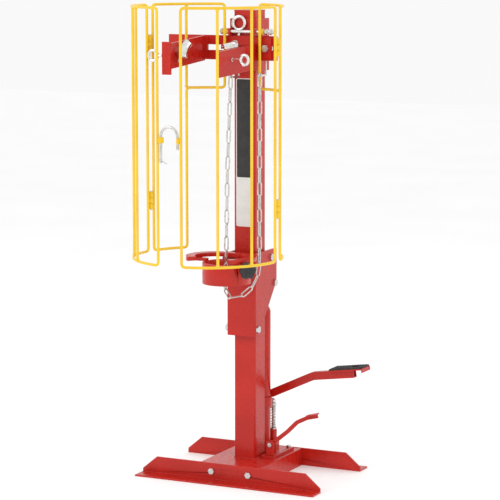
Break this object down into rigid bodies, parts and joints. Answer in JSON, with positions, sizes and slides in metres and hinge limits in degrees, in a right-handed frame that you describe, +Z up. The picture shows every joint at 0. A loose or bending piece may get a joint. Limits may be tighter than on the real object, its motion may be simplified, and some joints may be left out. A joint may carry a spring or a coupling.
{
  "type": "coil spring compressor",
  "caption": "Floor-standing foot-pumped hydraulic coil spring compressor with sliding carriage, hook arms, strut collar and hinged wire safety cage.",
  "frame": {"origin": "column axis at floor level, on the underside of the base beam", "axes": "+Z up the column, -Y towards the hooks and the cage, +X towards the pedals"},
  "size_m": [0.6088, 0.6924, 1.385],
  "materials": {
    "red_paint": "gloss powder coat",
    "yellow_paint": "gloss powder coat",
    "zinc_steel": "zinc plated",
    "polished_steel": "polished",
    "label_vinyl": "satin vinyl",
    "black_plastic": "moulded, fine texture",
    "black_rubber": "ribbed rubber"
  },
  "bodies": {
    "stand": {"base_beam": "red_paint", "front_rail": "red_paint", "rear_rail": "red_paint", "rail_bolts": "zinc_steel", "column": "red_paint", "column_cap": "red_paint", "column_label": "label_vinyl", "head_sleeve": "red_paint", "head_shims": "zinc_steel", "head_bar": "red_paint", "rod_brackets": "red_paint", "cage_rod": "zinc_steel", "top_eye_bolt": "polished_steel", "rear_left_panel": "yellow_paint", "rear_right_panel": "yellow_paint", "left_hinge_pins": "zinc_steel", "right_hinge_pins": "zinc_steel", "chain_hooks": "zinc_steel", "safety_chain": "zinc_steel", "jack_plate": "red_paint", "jack_plate_screws": "zinc_steel", "jack_cylinder": "red_paint", "jack_gland": "red_paint", "pump_block": "red_paint", "fulcrum_bracket": "red_paint", "pedal_pin": "zinc_steel", "return_spring": "zinc_steel", "release_bracket": "red_paint", "release_pin": "zinc_steel"},
    "carriage": {"carriage_frame": "red_paint", "carriage_bolts": "zinc_steel", "ram_rod": "polished_steel", "collar_bracket": "red_paint", "strut_collar": "red_paint", "spring_seat": "red_paint"},
    "upper_roller": {"upper_roller": "zinc_steel"},
    "lower_roller": {"lower_roller": "zinc_steel"},
    "knob": {"clamp_screw": "zinc_steel", "clamp_knob": "black_plastic"},
    "pedal": {"pedal_lever": "red_paint", "foot_plate": "red_paint", "pedal_pad": "black_rubber"},
    "piston": {"pump_piston": "zinc_steel"},
    "release": {"release_lever": "red_paint"},
    "left_arm": {"left_arm": "red_paint", "left_claw": "polished_steel", "left_clamp_bolt": "zinc_steel", "left_eye_bolt": "polished_steel"},
    "right_arm": {"right_arm": "red_paint", "right_claw": "polished_steel", "right_clamp_bolt": "zinc_steel", "right_eye_bolt": "polished_steel"},
    "left_door": {"left_door": "yellow_paint"},
    "right_door": {"right_door": "yellow_paint"},
    "latch": {"latch_hook": "zinc_steel"}
  },
  "joints": [
    {"name": "carriage_lift", "type": "slide", "parent": "stand", "child": "carriage", "axis": [0, 0, 1], "range_m": [0, 0.3]},
    {"name": "upper_roller_spin", "type": "hinge", "parent": "carriage", "child": "upper_roller", "pos_m": [0, 0.0456, 0.642], "axis": [1, 0, 0], "continuous": true},
    {"name": "lower_roller_spin", "type": "hinge", "parent": "carriage", "child": "lower_roller", "pos_m": [0, -0.0432, 0.441], "axis": [1, 0, 0], "continuous": true},
    {"name": "clamp_knob_turn", "type": "hinge", "parent": "carriage", "child": "knob", "pos_m": [0.0706, -0.18754, 0.638], "axis": [0.8829, -0.4695, 0], "continuous": true},
    {"name": "pedal_press", "type": "hinge", "parent": "stand", "child": "pedal", "pos_m": [-0.02, 0.118, 0.20365], "axis": [0, 1, 0], "range_deg": [0, 24], "stiffness_Nm_per_rad": 8, "springref_deg": -34.38},
    {"name": "pump_stroke", "type": "slide", "parent": "stand", "child": "piston", "axis": [0, 0, -1], "range_m": [0, 0.017], "deforming": ["return_spring"]},
    {"name": "release_press", "type": "hinge", "parent": "stand", "child": "release", "pos_m": [0.066, 0.008, 0.092], "axis": [0, 1, 0], "range_deg": [0, 10], "stiffness_Nm_per_rad": 1, "springref_deg": -28.65},
    {"name": "left_arm_slide", "type": "slide", "parent": "stand", "child": "left_arm", "axis": [1, 0, 0], "range_m": [0, 0.03]},
    {"name": "right_arm_slide", "type": "slide", "parent": "stand", "child": "right_arm", "axis": [1, 0, 0], "range_m": [-0.015, 0.005]},
    {"name": "left_door_swing", "type": "hinge", "parent": "stand", "child": "left_door", "pos_m": [-0.2048, -0.22433, 1], "axis": [0, 0, -1], "range_deg": [0, 110]},
    {"name": "right_door_swing", "type": "hinge", "parent": "stand", "child": "right_door", "pos_m": [0.20828, -0.24869, 1], "axis": [0, 0, 1], "range_deg": [0, 110]},
    {"name": "latch_lift", "type": "slide", "parent": "left_door", "child": "latch", "axis": [0, 0, 1], "range_m": [0, 0.04]}
  ],
  "couplings": [
    {"joint": "pump_stroke", "follows": "pedal_press", "m_per_rad": 0.04},
    {"joint": "upper_roller_spin", "follows": "carriage_lift", "rad_per_m": 90.909},
    {"joint": "lower_roller_spin", "follows": "carriage_lift", "rad_per_m": -116.28}
  ]
}
